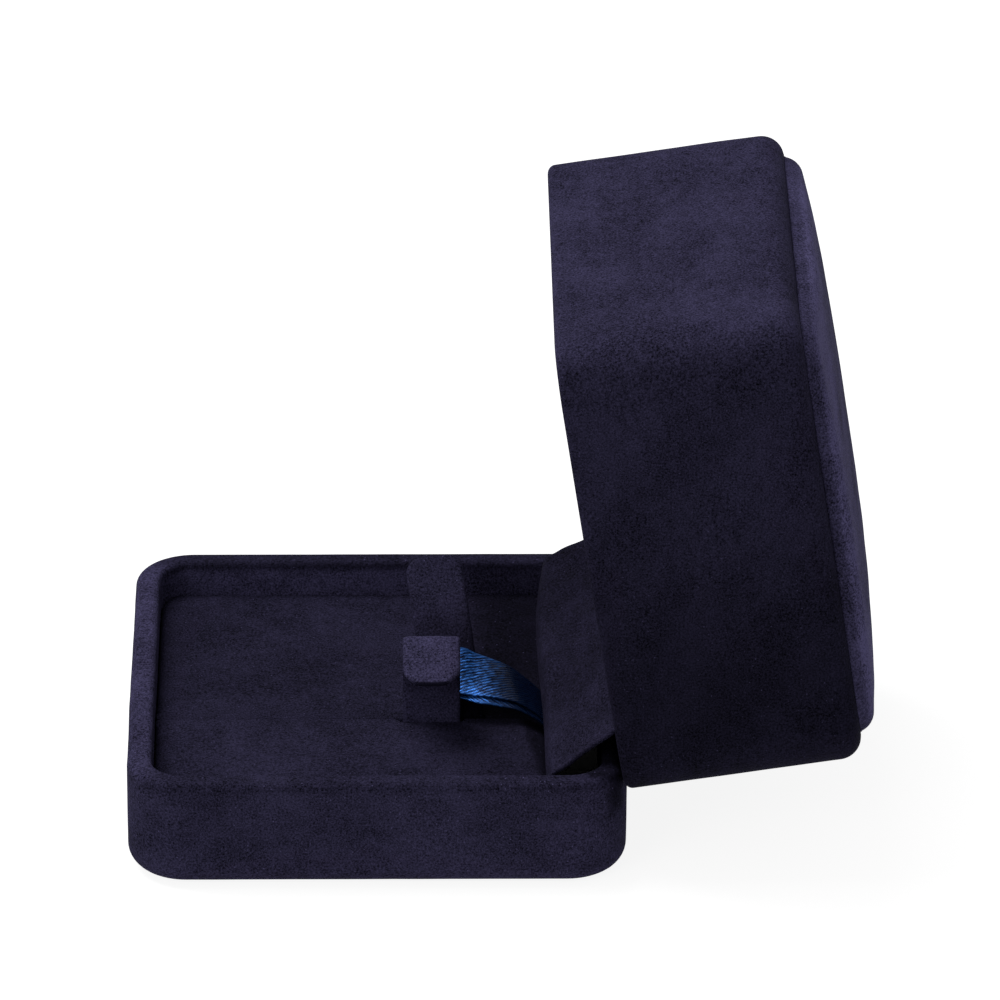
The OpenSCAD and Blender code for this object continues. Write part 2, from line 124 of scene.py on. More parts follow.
def swing(points, angle):
    """Turns points about the hinge line: x and z mix by the angle's sine and cosine."""
    dx, dz = points[..., 0] - PIVOT_X, points[..., 2] - PIVOT_Z
    c, s = math.cos(angle), math.sin(angle)
    return np.stack([PIVOT_X + dx * c + dz * s, points[..., 1],
                     PIVOT_Z - dx * s + dz * c], axis=-1)


def smoothstep(low, high, x):
    """0 below low, 1 above high and a smooth cubic between."""
    t = np.clip((x - low) / (high - low), 0, 1)
    return t * t * (3 - 2 * t)


def curve_through(knots, values, at):
    """Cubic Hermite curve through values at the knots, with slopes from their neighbours."""
    knots, values = np.asarray(knots, float), np.asarray(values, float)
    slope = np.gradient(values, knots, axis=0)
    i = np.clip(np.searchsorted(knots, at, side="right") - 1, 0, len(knots) - 2)
    span = (knots[i + 1] - knots[i])
    t = (at - knots[i]) / span
    if values.ndim > 1:
        span, t = span[:, None], t[:, None]
    return ((2 * t**3 - 3 * t**2 + 1) * values[i] + (t**3 - 2 * t**2 + t) * span * slope[i]
            + (3 * t**2 - 2 * t**3) * values[i + 1] + (t**3 - t**2) * span * slope[i + 1])


def unevenness(points, wavelength, waves=9):
    """Soft hand-made unevenness from -1 to 1: a sum of sines in seeded directions, with
    wavelengths spread about the given one."""
    directions = RNG.normal(size=(waves, 3))
    directions /= np.linalg.norm(directions, axis=1)[:, None]
    lengths = wavelength * RNG.uniform(0.6, 1.7, waves)
    phases = RNG.uniform(0, 2 * math.pi, waves)
    turns = points @ (directions / lengths[:, None]).T * 2 * math.pi + phases
    return np.sin(turns).sum(-1) / math.sqrt(waves) / 1.5


# ---------------------------------------------------------------- mesh builders

def grid_faces(rows, columns, start=0, wrap=False):
    """Quads of a grid of vertices numbered row by row; wrap joins its ends both ways."""
    number = start + np.arange(rows * columns).reshape(rows, columns)
    if wrap:
        number = np.pad(number, ((0, 1), (0, 1)), mode="wrap")
    return np.stack([number[:-1, :-1], number[1:, :-1], number[1:, 1:],
                     number[:-1, 1:]], axis=-1).reshape(-1, 4)


def piece_from(name, points, faces, material, uv=None, edge=None, nap=None):
    """A mesh object at the origin from points in millimetres, normals turned outwards. Each
    vertex has a lightness named nap, partly its brushed nap and partly painted light and
    shade, and where the finish needs them a place in the weave and a cut-edge value, which
    darkens edges and paints shade on a tongue's tip end."""
    mesh = bpy.data.meshes.new(name)
    mesh.from_pydata((points.reshape(-1, 3) * MM).tolist(), [], faces.tolist())
    work = bmesh.new()
    work.from_mesh(mesh)
    bmesh.ops.recalc_face_normals(work, faces=work.faces)
    work.to_mesh(mesh)
    work.free()
    mesh.polygons.foreach_set("use_smooth", np.ones(len(mesh.polygons), bool))
    if uv is not None:
        corner = np.zeros(len(mesh.loops), int)
        mesh.loops.foreach_get("vertex_index", corner)
        mesh.uv_layers.new(name="weave").data.foreach_set("uv", uv[corner].ravel())
    count = len(mesh.vertices)
    # the nap value is brushed nap and painted light and shade; the cut-edge value darkens edges and paints shade
    # on tongue tips
    for layer, values in (("cut_edge_and_shade", 0.0 if edge is None else edge),
                          ("nap", 1.0 if nap is None else nap)):
        flat = np.ascontiguousarray(np.broadcast_to(np.asarray(values, float).ravel(), count))
        mesh.attributes.new(layer, "FLOAT", "POINT").data.foreach_set("value", flat)
    mesh.materials.append(material)
    piece = bpy.data.objects.new(name, mesh)
    bpy.context.scene.collection.objects.link(piece)
    return piece


def closed_pair(top, bottom):
    """Vertices and faces of a closed form from two grids of points: one is its top, the
    other its underside, and a ring of quads joins their borders."""
    rows, columns = top.shape[:2]
    count = rows * columns
    number = np.arange(count).reshape(rows, columns)
    ring = np.concatenate([number[0, :-1], number[:-1, -1], number[-1, :0:-1],
                           number[:0:-1, 0]])
    after = np.roll(ring, -1)
    sides = np.stack([ring, after, after + count, ring + count], axis=-1)
    faces = np.concatenate([grid_faces(rows, columns),
                            grid_faces(rows, columns, count)[:, ::-1], sides])
    return np.concatenate([top.reshape(-1, 3), bottom.reshape(-1, 3)]), faces


def thick_sheet(middle, thickness):
    """The two faces of a sheet: its middle grid moved half the thickness each way along the
    cross product of the grid's two directions."""
    normal = np.cross(np.gradient(middle, axis=0), np.gradient(middle, axis=1))
    normal /= np.linalg.norm(normal, axis=-1, keepdims=True)
    half = np.broadcast_to(np.asarray(thickness) / 2, middle.shape[:2])[..., None]
    return middle + normal * half, middle - normal * half


def rounded_square_path(half_l, half_w, marks):
    """Corner centres and outward directions along a rounded square: each side is a straight
    run with one direction, each corner a quarter turn about one point."""
    turn = np.linspace(0, math.pi / 2, 17)[1:-1]
    centres, outwards = [], []
    for k in range(4):
        across, along = (half_l, half_w) if k % 2 == 0 else (half_w, half_l)
        reach = along - CORNER_R
        t = marks * reach
        centre = np.stack([np.full(len(t), across - CORNER_R), t], -1)
        corner = np.tile([across - CORNER_R, reach], (len(turn), 1))
        out = np.tile([1.0, 0.0], (len(t), 1))
        bend = np.stack([np.cos(turn), np.sin(turn)], -1)
        c, s = round(math.cos(k * math.pi / 2)), round(math.sin(k * math.pi / 2))
        spin = np.array([[c, s], [-s, c]])
        centres += [np.concatenate([centre, corner]) @ spin]
        outwards += [np.concatenate([out, bend]) @ spin]
    return np.concatenate(centres), np.concatenate(outwards)


def arc(cx, cz, r, start, end, steps=9):
    """Points of a section's round, angles in degrees from the inset direction."""
    a = np.radians(np.linspace(start, end, steps))
    return np.stack([cx + r * np.cos(a), cz + r * np.sin(a)], -1)


def run(x0, z0, x1, z1, steps):
    """Evenly spaced points of a straight part of a section, its ends left to the rounds."""
    t = np.linspace(0, 1, steps + 2)[1:-1, None]
    return np.array([[x0, z0]]) * (1 - t) + np.array([[x1, z1]]) * t


def covering_section(edge_z, rim_z, edge_r, lip, inner_z):
    """Closed section of a tray's covering as inset and height: in from under the edge, up
    the outside, over the rim and down the inside, then back one covering thickness inside
    it along the section's normals."""
    up = 1 if rim_z > edge_z else -1
    outer = np.concatenate([
        [[lip, edge_z]], run(lip, edge_z, edge_r, edge_z, 4),
        arc(edge_r, edge_z + up * edge_r, edge_r, -90 * up, -180 * up, 13),
        run(0, edge_z + up * edge_r, 0, rim_z - up * RIM_ROUND, 26),
        arc(RIM_ROUND, rim_z - up * RIM_ROUND, RIM_ROUND, 180 * up, 90 * up),
        run(RIM_ROUND, rim_z, RIM_W - RIM_INNER_ROUND, rim_z, 4),
        arc(RIM_W - RIM_INNER_ROUND, rim_z - up * RIM_INNER_ROUND, RIM_INNER_ROUND,
            90 * up, 0),
        run(RIM_W, rim_z - up * RIM_INNER_ROUND, RIM_W, inner_z, 14), [[RIM_W, inner_z]]])
    along = np.gradient(outer, axis=0)
    along /= np.linalg.norm(along, axis=1)[:, None]
    inward = np.stack([along[:, 1], -along[:, 0]], -1) * up
    return np.concatenate([outer, (outer + inward * COVER_T)[::-1]])


def covering(half_l, half_w, section, marks):
    """Carries a section of inset and height round the rounded square: each point is its
    corner centre plus the outward direction times the corner radius less the inset, and the
    nap stands out a little. Also gives the outward direction of each row."""
    centre, out = rounded_square_path(half_l, half_w, marks)
    reach = CORNER_R - section[:, 0]
    plan = centre[:, None] + out[:, None] * reach[None, :, None]
    height = np.broadcast_to(section[:, 1], plan.shape[:2])
    points = np.concatenate([plan, height[..., None]], -1)
    outside = smoothstep(RIM_W - 0.5, RIM_W - 2, section[:, 0])[None, :, None]
    swell = (unevenness(points, 34)[..., None] * 0.07
             + unevenness(points, 9)[..., None] * 0.03 + NAP * outside)
    shift = np.concatenate([out, np.zeros((len(out), 1))], -1)[:, None] * swell
    return points + shift, grid_faces(*points.shape[:2], wrap=True), out


# ---------------------------------------------------------------- finishes

class Nodes:
    """A node tree being wired: add makes a node with its settings and inputs, where an input
    is a number, a colour or another node's output."""

    def __init__(self, name):
        self.material = bpy.data.materials.new(name)
        self.material.use_nodes = True
        self.tree = self.material.node_tree
        self.shader = self.tree.nodes["Principled BSDF"]

    def add(self, kind, inputs=(), **settings):
        node = self.tree.nodes.new("ShaderNode" + kind)
        for key, value in settings.items():
            setattr(node, key, value)
        for key, value in dict(inputs).items():
            self.put(node, key, value)
        return node

    def put(self, node, key, value):
        socket = node.inputs[key]
        if isinstance(value, bpy.types.NodeSocket):
            self.tree.links.new(value, socket)
        else:
            socket.default_value = value

    def noise(self, place, scale, detail=2, rough=0.5):
        """Soft random pattern of about one over scale metres, about 0 to 1."""
        node = self.add("TexNoise", {"Vector": place, "Scale": scale, "Detail": detail,
                                     "Roughness": rough})
        return node.outputs[0]

    def maths(self, operation, a, b=0.0, c=0.0):
        return self.add("Math", {0: a, 1: b, 2: c}, operation=operation).outputs[0]

    def spread(self, value, low, high, to_low, to_high, smooth=True):
        """Maps low to high onto to_low to to_high, held at both ends."""
        kind = "SMOOTHSTEP" if smooth else "LINEAR"
        node = self.add("MapRange", {"Value": value, "From Min": low, "From Max": high,
                                     "To Min": to_low, "To Max": to_high},
                        interpolation_type=kind)
        return node.outputs["Result"]

    def blend(self, share, first, second, kind="MIX"):
        node = self.add("Mix", data_type="RGBA", blend_type=kind)
        self.put(node, 0, share)
        self.put(node, 6, first)
        self.put(node, 7, second)
        return node.outputs[2]

    def painted(self, layer):
        """A piece's own value for each vertex."""
        return self.add("Attribute", attribute_name=layer).outputs["Fac"]

    def finish(self, colour, roughness, bump=None, distance=0.0001, strength=0.5, **constants):
        self.put(self.shader, "Base Color", colour)
        self.put(self.shader, "Roughness", roughness)
        if bump is not None:
            node = self.add("Bump", {"Height": bump, "Distance": distance,
                                     "Strength": strength})
            self.put(self.shader, "Normal", node.outputs[0])
        for key, value in constants.items():
            socket = key.replace("_", " ").title().replace("Ior", "IOR")
            self.put(self.shader, socket, value)
        return self.material


LIGHTEST = 4.0  # the lightest nap, as a multiple of a suede's own colour


def toned(colour, factor):
    """A colour made lighter or darker by a factor, with full alpha."""
    return tuple(c * factor for c in colour) + (1,)


def suede(name, colour, patch=0.3, grain=1.05, fleck=0.8, brushed=(1, 1, 1)):
    """Short brushed nap: brushed patches about a centimetre wide, streaks of a few
    millimetres, fine grain, pale flecks of lint, darker cut edges with painted shade on a
    tongue's tip end, and a soft sheen. The piece's nap values make it lighter or darker from
    place to place, partly as brushed nap and partly as painted light and shade."""
    n = Nodes(name)
    place = n.add("TexCoord").outputs["Object"]
    swept = n.add("Mapping", {"Vector": place, "Scale": brushed}).outputs[0]
    patches = n.spread(n.noise(swept, 62, 3, 0.55), 0.34, 0.66, -1.0, 1.0)
    streaks = n.spread(n.noise(swept, 330, 2, 0.6), 0.34, 0.66, -1.0, 1.0)
    fine = n.noise(place, 2700, 3, 0.8)
    nap = n.spread(fine, 0.3, 0.7, -1.0, 1.0, smooth=False)
    tone = n.maths("MULTIPLY_ADD", patches, patch * 0.62, 1.0)
    tone = n.maths("ADD", tone, n.maths("MULTIPLY", streaks, patch * 0.4))
    tone = n.maths("ADD", tone, n.maths("MULTIPLY", nap, grain))
    # times the piece's nap value: brushed nap and painted light and shade
    tone_with_nap_and_shade = n.maths("MULTIPLY", tone, n.painted("nap"))
    shade = n.blend(n.maths("DIVIDE", tone_with_nap_and_shade, LIGHTEST), (0, 0, 0, 1),
                    toned(colour, LIGHTEST))
    lint = n.add("TexVoronoi", {"Vector": place, "Scale": 900.0}).outputs["Distance"]
    lint_share = n.maths("MULTIPLY", n.spread(lint, 0.02, 0.16, 1.0, 0.0),
                         n.spread(n.noise(place, 700, 1), 0.46, 0.6, 0.0, fleck))
    shade = n.blend(lint_share, shade, toned(colour, 4.5))
    # darker cut edges; on a tongue's tip end the darkening is painted shade
    shade = n.blend(n.maths("MULTIPLY", n.painted("cut_edge_and_shade"), 0.85), shade,
                    toned(colour, 0.35))
    height = n.maths("ADD", n.maths("MULTIPLY", fine, 0.6),
                     n.maths("MULTIPLY", n.noise(place, 900, 3, 0.6), 0.8))
    return n.finish(shade, n.spread(streaks, -1, 1, 0.86, 1.0), height, 0.00016, 0.75,
                    sheen_weight=0.008, sheen_roughness=0.4,
                    sheen_tint=(0.5, 0.45, 0.85, 1), specular_ior_level=0.012)


def satin():
    """Blue satin: fine ribs run aslant across the band, a plain border along each edge, and
    a gloss that breaks up along the ribs, with the same breaks painted into the colour as
    highlights. The piece's nap value is painted shade."""
    n = Nodes("ribbed_satin")
    uv = n.add("UVMap", uv_map="weave").outputs[0]
    parts = n.add("SeparateXYZ", {0: uv})
    across, along = parts.outputs[0], parts.outputs[1]
    border = n.spread(n.maths("ABSOLUTE", across), 0.86, 0.92, 0.0, 1.0)
    slant = n.maths("ADD", n.maths("MULTIPLY", across, 9.0), along)
    wobble = n.maths("MULTIPLY", n.noise(uv, 1.1, 2), 0.5)
    ribs = n.maths("SINE", n.maths("MULTIPLY", n.maths("ADD", slant, wobble), 5.2))
    threads = n.maths("SINE", n.maths("MULTIPLY", across, 190.0))
    cloth = n.add("Mapping", {"Vector": uv, "Scale": (5, 1, 1),
                              "Rotation": (0, 0, math.radians(61))}).outputs[0]
    drawn = n.add("Mapping", {"Vector": cloth, "Scale": (0.35, 1, 1)}).outputs[0]
    gloss_and_painted_glint = n.noise(drawn, 1.7, 3, 0.7)
    # painted highlights: the colour follows the gloss pattern
    tone = n.maths("MULTIPLY", n.spread(ribs, -0.9, 0.9, 0.12, 1.0),
                   n.spread(gloss_and_painted_glint, 0.4, 0.64, 0.1, 1.0))
    tone = n.maths("MAXIMUM", tone, n.maths("MULTIPLY", border, 0.3))
    # times the piece's nap value, which on the ribbon is painted shade
    tone = n.maths("MULTIPLY", tone, n.painted("nap"))
    shade = n.blend(tone, (0.0004, 0.0025, 0.013, 1), (0.045, 0.2, 0.68, 1))
    height = n.maths("ADD", n.maths("MULTIPLY", ribs, 0.7),
                     n.maths("MULTIPLY", threads, 0.25))
    return n.finish(shade, n.spread(gloss_and_painted_glint, 0.3, 0.7, 0.24, 0.4), height, 0.00005, 0.6,
                    metallic=0.55, specular_ior_level=0.15, anisotropic=0.4)


def steel(name, colour, roughness, scratch):
    """Drawn or rolled steel: fine lengthwise scratches that vary gloss and height."""
    n = Nodes(name)
    place = n.add("TexCoord").outputs["Object"]
    drawn = n.add("Mapping", {"Vector": place, "Scale": (1, scratch, 1)}).outputs[0]
    lines = n.noise(drawn, 2400, 4, 0.7)
    shade = n.blend(n.spread(lines, 0.3, 0.7, 0, 1), toned(colour, 0.75), toned(colour, 1))
    return n.finish(shade, n.spread(lines, 0.3, 0.7, roughness, roughness + 0.2), lines,
                    0.00002, 0.3, metallic=1.0)


def moulded_plastic():
    """Matt black moulding with a fine spark-eroded texture and a few duller patches."""
    n = Nodes("moulded_shell")
    place = n.add("TexCoord").outputs["Object"]
    fine, broad = n.noise(place, 1900, 2), n.noise(place, 60, 3)
    shade = n.blend(broad, (0.012, 0.012, 0.014, 1), (0.022, 0.022, 0.026, 1))
    return n.finish(shade, n.spread(broad, 0.3, 0.7, 0.5, 0.68), fine, 0.00004, 0.4)


def black_board():
    """Black-faced pulp board: charcoal with long fibres and paler specks."""
    n = Nodes("black_board")
    place = n.add("TexCoord").outputs["Object"]
    drawn = n.add("Mapping", {"Vector": place, "Scale": (1, 5, 1)}).outputs[0]
    fibre, speck = n.noise(drawn, 900, 4, 0.7), n.noise(place, 2600, 1)
    shade = n.blend(n.spread(fibre, 0.3, 0.7, 0, 1), (0.012, 0.012, 0.014, 1),
                    (0.026, 0.025, 0.03, 1))
    shade = n.blend(n.spread(speck, 0.64, 0.72, 0, 0.7), shade, (0.07, 0.065, 0.07, 1))
    return n.finish(shade, 0.9, fibre, 0.00008, 0.5)


def pressed_felt():
    """Dense felt: matted fibres at two sizes and a dusty sheen."""
    n = Nodes("pressed_felt")
    place = n.add("TexCoord").outputs["Object"]
    fibre, clump = n.noise(place, 2200, 4, 0.75), n.noise(place, 240, 3)
    shade = n.blend(n.maths("MULTIPLY", fibre, n.spread(clump, 0.3, 0.7, 0.6, 1.3)),
                    (0.004, 0.004, 0.006, 1), (0.028, 0.027, 0.038, 1))
    return n.finish(shade, 0.97, fibre, 0.00025, 0.8, sheen_weight=0.3,
                    sheen_roughness=0.6)


def soft_foam():
    """Dark open-cell foam: small round cells with lit rims."""
    n = Nodes("soft_foam")
    place = n.add("TexCoord").outputs["Object"]
    cells = n.add("TexVoronoi", {"Vector": place, "Scale": 1400.0}).outputs["Distance"]
    shade = n.blend(n.spread(cells, 0.1, 0.6, 0, 1), (0.02, 0.02, 0.025, 1),
                    (0.09, 0.09, 0.1, 1))
    return n.finish(shade, 0.95, cells, 0.0002, 0.8)


NAVY = (0.0134, 0.0120, 0.0262)


def navy_scaled(factor):
    """The navy made lighter or darker by a factor for one cut of suede; the lid's darker copy is painted shade."""
    return tuple(c * factor for c in NAVY)


FINISH = {
    "suede_outer": suede("outer_suede", navy_scaled(1.15), brushed=(1, 1, 1.5)),
    "suede_insert": suede("insert_suede", navy_scaled(0.74)),
    "suede_tongue": suede("tongue_suede", NAVY, patch=0.25, grain=1.0),
    "suede_flap": suede("flap_suede", navy_scaled(0.58), patch=0.35,
                        brushed=(1, 0.6, 1)),
    # a darker copy of the suede for the lid: painted shade
    "lid_suede_painted_shade": suede("lid_suede_painted_shade", navy_scaled(0.6), brushed=(1.5, 1, 1)),
    "satin": satin(),
    "clip_steel": steel("clip_strip", (0.52, 0.53, 0.55), 0.3, 0.1),
    "hinge_steel": steel("hinge_plate", (0.55, 0.55, 0.57), 0.26, 0.15),
    "spring_steel": steel("spring_wire", (0.36, 0.37, 0.4), 0.32, 0.4),
    "shell_plastic": moulded_plastic(),
    "card": black_board(),
    "felt": pressed_felt(),
    "foam": soft_foam(),
}


def finish_carried_nodes():
    """Gives each CAD node the finish of its slot in the record."""
    slot_of = {part["node"]: part["material_slot"] for part in frame["record"]["subparts"]}
    for name, node in frame["nodes"].items():
        node.data.materials.clear()
        node.data.materials.append(FINISH[slot_of[name]])


finish_carried_nodes()


# ---------------------------------------------------------------- coverings of base and lid

BASE_LOW, BASE_HIGH = node_box("base_cover")
HALF_L, HALF_W = BASE_HIGH[0], BASE_HIGH[1]
RIM_Z = BASE_HIGH[2]
IN_HALF_L, IN_HALF_W = HALF_L - RIM_W, HALF_W - RIM_W
NOTCH_HALF, NOTCH_Z = 23.5, 17.2  # the hinge notch: half its length, and its sill
SEAT_GAP = 0.25  # room between the hinge wall and the open lid
LID_REACH = 2.6  # from the hinge line to the lid's rim

# places along each straight side, close together where the hinge notch's ends lie
SIDE_MARKS = np.unique(np.concatenate([
    np.linspace(-1, 1, 61), np.array([-1, 1]) * (NOTCH_HALF - 0.15) / (HALF_W - CORNER_R),
    np.array([-1, 1]) * (NOTCH_HALF + 0.15) / (HALF_W - CORNER_R)]))


def hinge_relief(points):
    """Lets the hinge wall make room for the lid: above the hinge line the wall stays inside
    a round the lid's rim turns past, below it the outer face steps in where the open lid
    rests, and between the notch's ends the wall stops under the knuckles."""
    x, y, z = points[..., 0], points[..., 1], points[..., 2]
    dx, dz = x - PIVOT_X, z - PIVOT_Z
    lean = math.tan(math.pi / 2 - OPEN_ANGLE)
    reach = LID_REACH - SEAT_GAP
    seat = reach - lean * dz
    crown = np.sqrt(np.maximum(reach**2 - np.clip(dz, 0, reach)**2, 0))
    limit = np.where(dz > 0, np.minimum(seat, crown), seat)
    step = smoothstep(PIVOT_Z - 3.2, PIVOT_Z - 2.9, z)
    x = np.where(dx > 0, np.minimum(x, PIVOT_X + limit * step + 9 * (1 - step)), x)
    notch = (np.abs(y) < NOTCH_HALF) & (points[..., 0] > IN_HALF_L - 1)
    z = np.where(notch, np.minimum(z, NOTCH_Z), z)
    return np.stack([x, y, z], -1)


def base_covering():
    """Covering of the base tray, with its hinge wall relieved. Its nap value paints light and
    shade: painted light on the inner walls, fading on the far wall towards the hinge, and on
    the opening side's rim, painted shade on the near and far rims, and the darkest painted
    shadow on the hinge wall's top and inner face beside the lid."""
    section = covering_section(BASE_LOW[2], RIM_Z, BASE_ROUND, BASE_ROUND + 0.6, TRAY_FLOOR)
    points, faces, out = covering(HALF_L, HALF_W, section, SIDE_MARKS)
    x, y, z = np.abs(points[..., 0]), np.abs(points[..., 1]), points[..., 2]
    inner_wall_painted_light = smoothstep(RIM_W - 1.5, RIM_W, HALF_L - x) * smoothstep(
        RIM_W - 1.5, RIM_W, HALF_W - y)
    to_hinge = points[..., 0]
    # painted shadow on the hinge wall's top and inner face, beside the open lid
    painted_hinge_shadow = (smoothstep(36.5, 39, to_hinge) * smoothstep(43.4, 41.2, y)
              * smoothstep(12, 15, z)
              * np.maximum(smoothstep(44.8, 44.0, to_hinge), smoothstep(17.5, 19, z)))
    far = smoothstep(0.3, 0.9, out[:, 1])[:, None]
    left = smoothstep(0.3, 0.9, -out[:, 0])[:, None]
    near = smoothstep(0.3, 0.9, -out[:, 1])[:, None]
    rim = smoothstep(RIM_Z - 2, RIM_Z - 0.5, z)
    # painted shade: the far inner wall's painted light fades towards the hinge
    inner_wall_painted_light *= 1 - 0.85 * far * smoothstep(6, 24, to_hinge)
    # painted light on the inner walls and the opening side's rim, painted shade on the near and far rims
    nap = ((1 + 1.2 * inner_wall_painted_light * (1 - rim)) * (1 - 0.7 * painted_hinge_shadow)
           * (1 + (0.3 * left - 0.25 * near - 0.46 * far) * rim))
    piece = piece_from("base_covering", hinge_relief(points), faces,
                       FINISH["suede_outer"], nap=nap)
    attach(piece, "base")
    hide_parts("base_cover")


LID_LOW, LID_HIGH = shut_box("lid_cover")
LID_RIM_Z, LID_TOP_Z = LID_LOW[2], LID_HIGH[2]
LID_CEILING = LID_TOP_Z - COVER_T - 2


def lid_covering():
    """Covering of the lid tray: rim down, its flat top left open under the raised pad. Its
    nap value paints light on the opening side's wall, which faces up with the lid open, and
    painted shade that deepens towards the hinge."""
    section = covering_section(LID_TOP_Z, LID_RIM_Z, LID_ROUND, LID_ROUND + 4.2, LID_CEILING)
    points, faces, out = covering(HALF_L, HALF_W, section, SIDE_MARKS)
    front = smoothstep(0.6, 0.95, -out[:, 0])[:, None]
    to_hinge = smoothstep(-30, 30, points[..., 0])
    # painted light on the opening side's wall, painted shade towards the hinge
    nap = (1 + 0.4 * front) * (1.35 - 0.7 * to_hinge)
    piece = piece_from("lid_covering", swing(points, OPEN_ANGLE), faces,
                       FINISH["lid_suede_painted_shade"], nap=nap)
    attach(piece, "lid")
    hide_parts("lid_cover")


base_covering()
lid_covering()


# ---------------------------------------------------------------- padded pieces

def graded(steps, edge_share):
    """Places from -1 to 1 with extra lines inside the given share of each end."""
    inner = np.linspace(-1 + edge_share, 1 - edge_share, steps)
    edge = edge_share * (1 - np.cos(np.linspace(0, math.pi / 2, 9)[:-1]))
    return np.concatenate([-1 + edge, inner, (1 - edge)[::-1]])


def pad_plan(half_a, half_b, corner, steps=110):
    """Grid over a rounded rectangle: a square grid, with each corner's square of cells drawn
    onto a quarter disc, and the distance of each point from the outline."""
    a, b = np.meshgrid(graded(steps, 1.6 / half_a) * half_a,
                       graded(steps, 1.6 / half_b) * half_b, indexing="ij")
    p = np.clip((np.abs(a) - half_a + corner) / corner, 0, 1)
    q = np.clip((np.abs(b) - half_b + corner) / corner, 0, 1)
    pull_p, pull_q = p * np.sqrt(1 - q**2 / 2), q * np.sqrt(1 - p**2 / 2)
    a = np.sign(a) * (np.abs(a) + (pull_p - p) * corner)
    b = np.sign(b) * (np.abs(b) + (pull_q - q) * corner)
    over_a, over_b = np.abs(a) - half_a + corner, np.abs(b) - half_b + corner
    outside = np.hypot(np.maximum(over_a, 0), np.maximum(over_b, 0))
    inside = np.minimum(np.maximum(over_a, over_b), 0)
    return a, b, np.maximum(corner - outside - inside, 0)


def padded_form(half_a, half_b, corner, height, edge_r, crown, puff=0.12, crisp_side=0,
                corner_drop=0.0):
    """A pad's top and underside: the top is its height less a quarter round of edge_r along
    the outline, plus a crown that grows as a power of the distance from each side. The
    round is nearly left out along the crisp side, +1 or -1, and the pad is lower by
    corner_drop at its corners."""
    a, b, depth = pad_plan(half_a, half_b, corner)
    near = np.clip(depth / edge_r, 0, 1)
    fall = edge_r * (1 - np.sqrt(1 - (1 - near)**2))
    fall *= 1 - 0.97 * smoothstep(half_b - 3, half_b - 1.8, crisp_side * b)
    dome = (1 - np.abs(a / half_a)**2.6) * (1 - np.abs(b / half_b)**2.6)
    flat = np.stack([a, b, np.zeros_like(a)], -1)
    rough = unevenness(flat, 26) * puff + unevenness(flat, 8) * puff * 0.35
    slack = corner_drop * (np.abs(a * b) / (half_a * half_b))**2
    top = height - fall + crown * dome - slack + rough * smoothstep(0, 4, depth)
    return (np.stack([a, b, np.maximum(top, 0.2)], -1), flat)


SLIT_Y = -8.5
SLIT_HALF = 0.04  # half the slit's width
TONGUE_T = 1.4
TONGUE_W = 10.5
FRONT_Y = SLIT_Y - TONGUE_T / 2 - 0.075
BACK_Y = SLIT_Y + TONGUE_T / 2 + 0.075
CLIP_X = 10.0
BACK_X = CLIP_X + 4.4


def cushion_half(name, y_low, y_high, clip_x, push, nodes):
    """One half of the slit cushion: a crowned pad whose slit edge gives way beside the clip
    by push, and whose hinge end falls into the gap before the flap. Its nap value paints
    shade that deepens towards the hinge under the lid, darkest on the near half's fallen end."""
    low, high = node_box(nodes[0])
    x_mid, y_mid = (low[0] + high[0]) / 2, (y_low + y_high) / 2
    half_a, half_b = (high[0] - low[0]) / 2, (y_high - y_low) / 2
    top, under = padded_form(half_a, half_b, 0.9, high[2] - low[2] - 0.15, 1.3, 0.25,
                             crisp_side=-np.sign(push))
    points, faces = closed_pair(top, under)
    points += [x_mid, y_mid, low[2]]
    x, y, z = points.T
    beside = smoothstep(clip_x - 7, clip_x - 5.2, x) * (1 - smoothstep(
        clip_x + 5.2, clip_x + 6.4, x))
    edge_y = y_high if push < 0 else y_low
    points[:, 1] = y + push * beside * smoothstep(9, 0, np.abs(y - edge_y))
    end_x = 25.9 + (-8 - np.minimum(y, -8)) * 0.15
    droop = 1.5 if push < 0 else 0.0
    points[:, 2] = z - droop * smoothstep(0, 5, x - end_x) * smoothstep(low[2] + 4,
                                                                       high[2], z)
    points[:, :2] = in_tray(points[:, :2])
    # painted shade towards the hinge, and on the near half's fallen hinge end
    if push < 0:
        nap = 1 - 0.3 * smoothstep(10, 30, x)
        nap = nap * (1 - 0.5 * smoothstep(-0.5, 1.2, x - end_x))
    else:
        nap = 0.85 * (1 - 0.62 * smoothstep(11, 23, x))
    piece = piece_from(name, points, faces, FINISH["suede_insert"],
                       nap=nap)
    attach(piece, "base")
    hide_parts(*nodes)


def in_tray(plan):
    """Keeps plan points inside the tray's rounded inner wall: a point past a corner's arc is
    drawn back to it along its radius."""
    r = CORNER_R - RIM_W - FIT_GAP
    cx, cy = IN_HALF_L - FIT_GAP - r, IN_HALF_W - FIT_GAP - r
    over = np.stack([np.abs(plan[:, 0]) - cx, np.abs(plan[:, 1]) - cy], -1)
    length = np.maximum(np.linalg.norm(np.maximum(over, 0), axis=1), 1e-9)
    corner = (over > 0).all(axis=1) & (length > r)
    drawn = np.sign(plan) * (np.array([cx, cy]) + over * (r / length)[:, None])
    return np.where(corner[:, None], drawn, plan)


NEAR_LOW, NEAR_HIGH = node_box("near_pad_cover")
FAR_HIGH = node_box("far_pad_cover")[1]
cushion_half("near_cushion", NEAR_LOW[1], SLIT_Y - SLIT_HALF, CLIP_X, -1.45,
             ("near_pad_cover", "near_pad_foam"))
cushion_half("far_cushion", SLIT_Y + SLIT_HALF, FAR_HIGH[1], BACK_X, 1.5,
             ("far_pad_cover", "far_pad_foam"))


